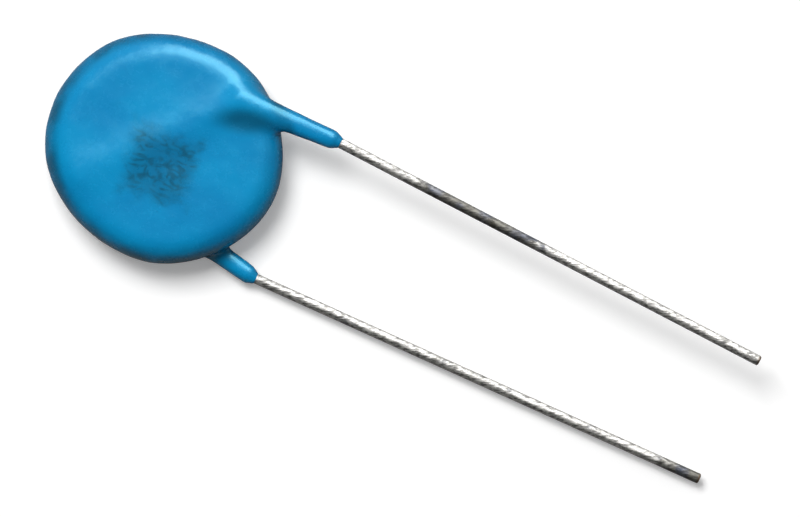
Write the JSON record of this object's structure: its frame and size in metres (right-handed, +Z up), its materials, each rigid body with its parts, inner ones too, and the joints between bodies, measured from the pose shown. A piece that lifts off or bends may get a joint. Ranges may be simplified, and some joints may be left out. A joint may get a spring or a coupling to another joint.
{
  "type": "ceramic disc capacitor",
  "caption": "Round blue epoxy-coated ceramic disc capacitor with straight tinned wire leads that leave opposite faces through short coated legs.",
  "frame": {"origin": "on the surface that the part lies on, under the middle of its box", "axes": "+X along the leads towards their tips, +Z up out of the face that carries the front lead"},
  "size_m": [0.0466, 0.0142, 0.0047],
  "materials": {
    "epoxy": "glossy dipped epoxy, softly uneven",
    "ceramic": "matt fired dielectric ceramic",
    "silver": "fired silver film, satin",
    "solder": "reflowed solder, satin",
    "tinned_wire": "bright tinned wire with duller stretches"
  },
  "bodies": {
    "root": {"epoxy_coat": "epoxy", "ceramic_disc": "ceramic", "front_electrode": "silver", "rear_electrode": "silver", "front_solder": "solder", "rear_solder": "solder", "front_lead": "tinned_wire", "rear_lead": "tinned_wire"}
  },
  "joints": []
}
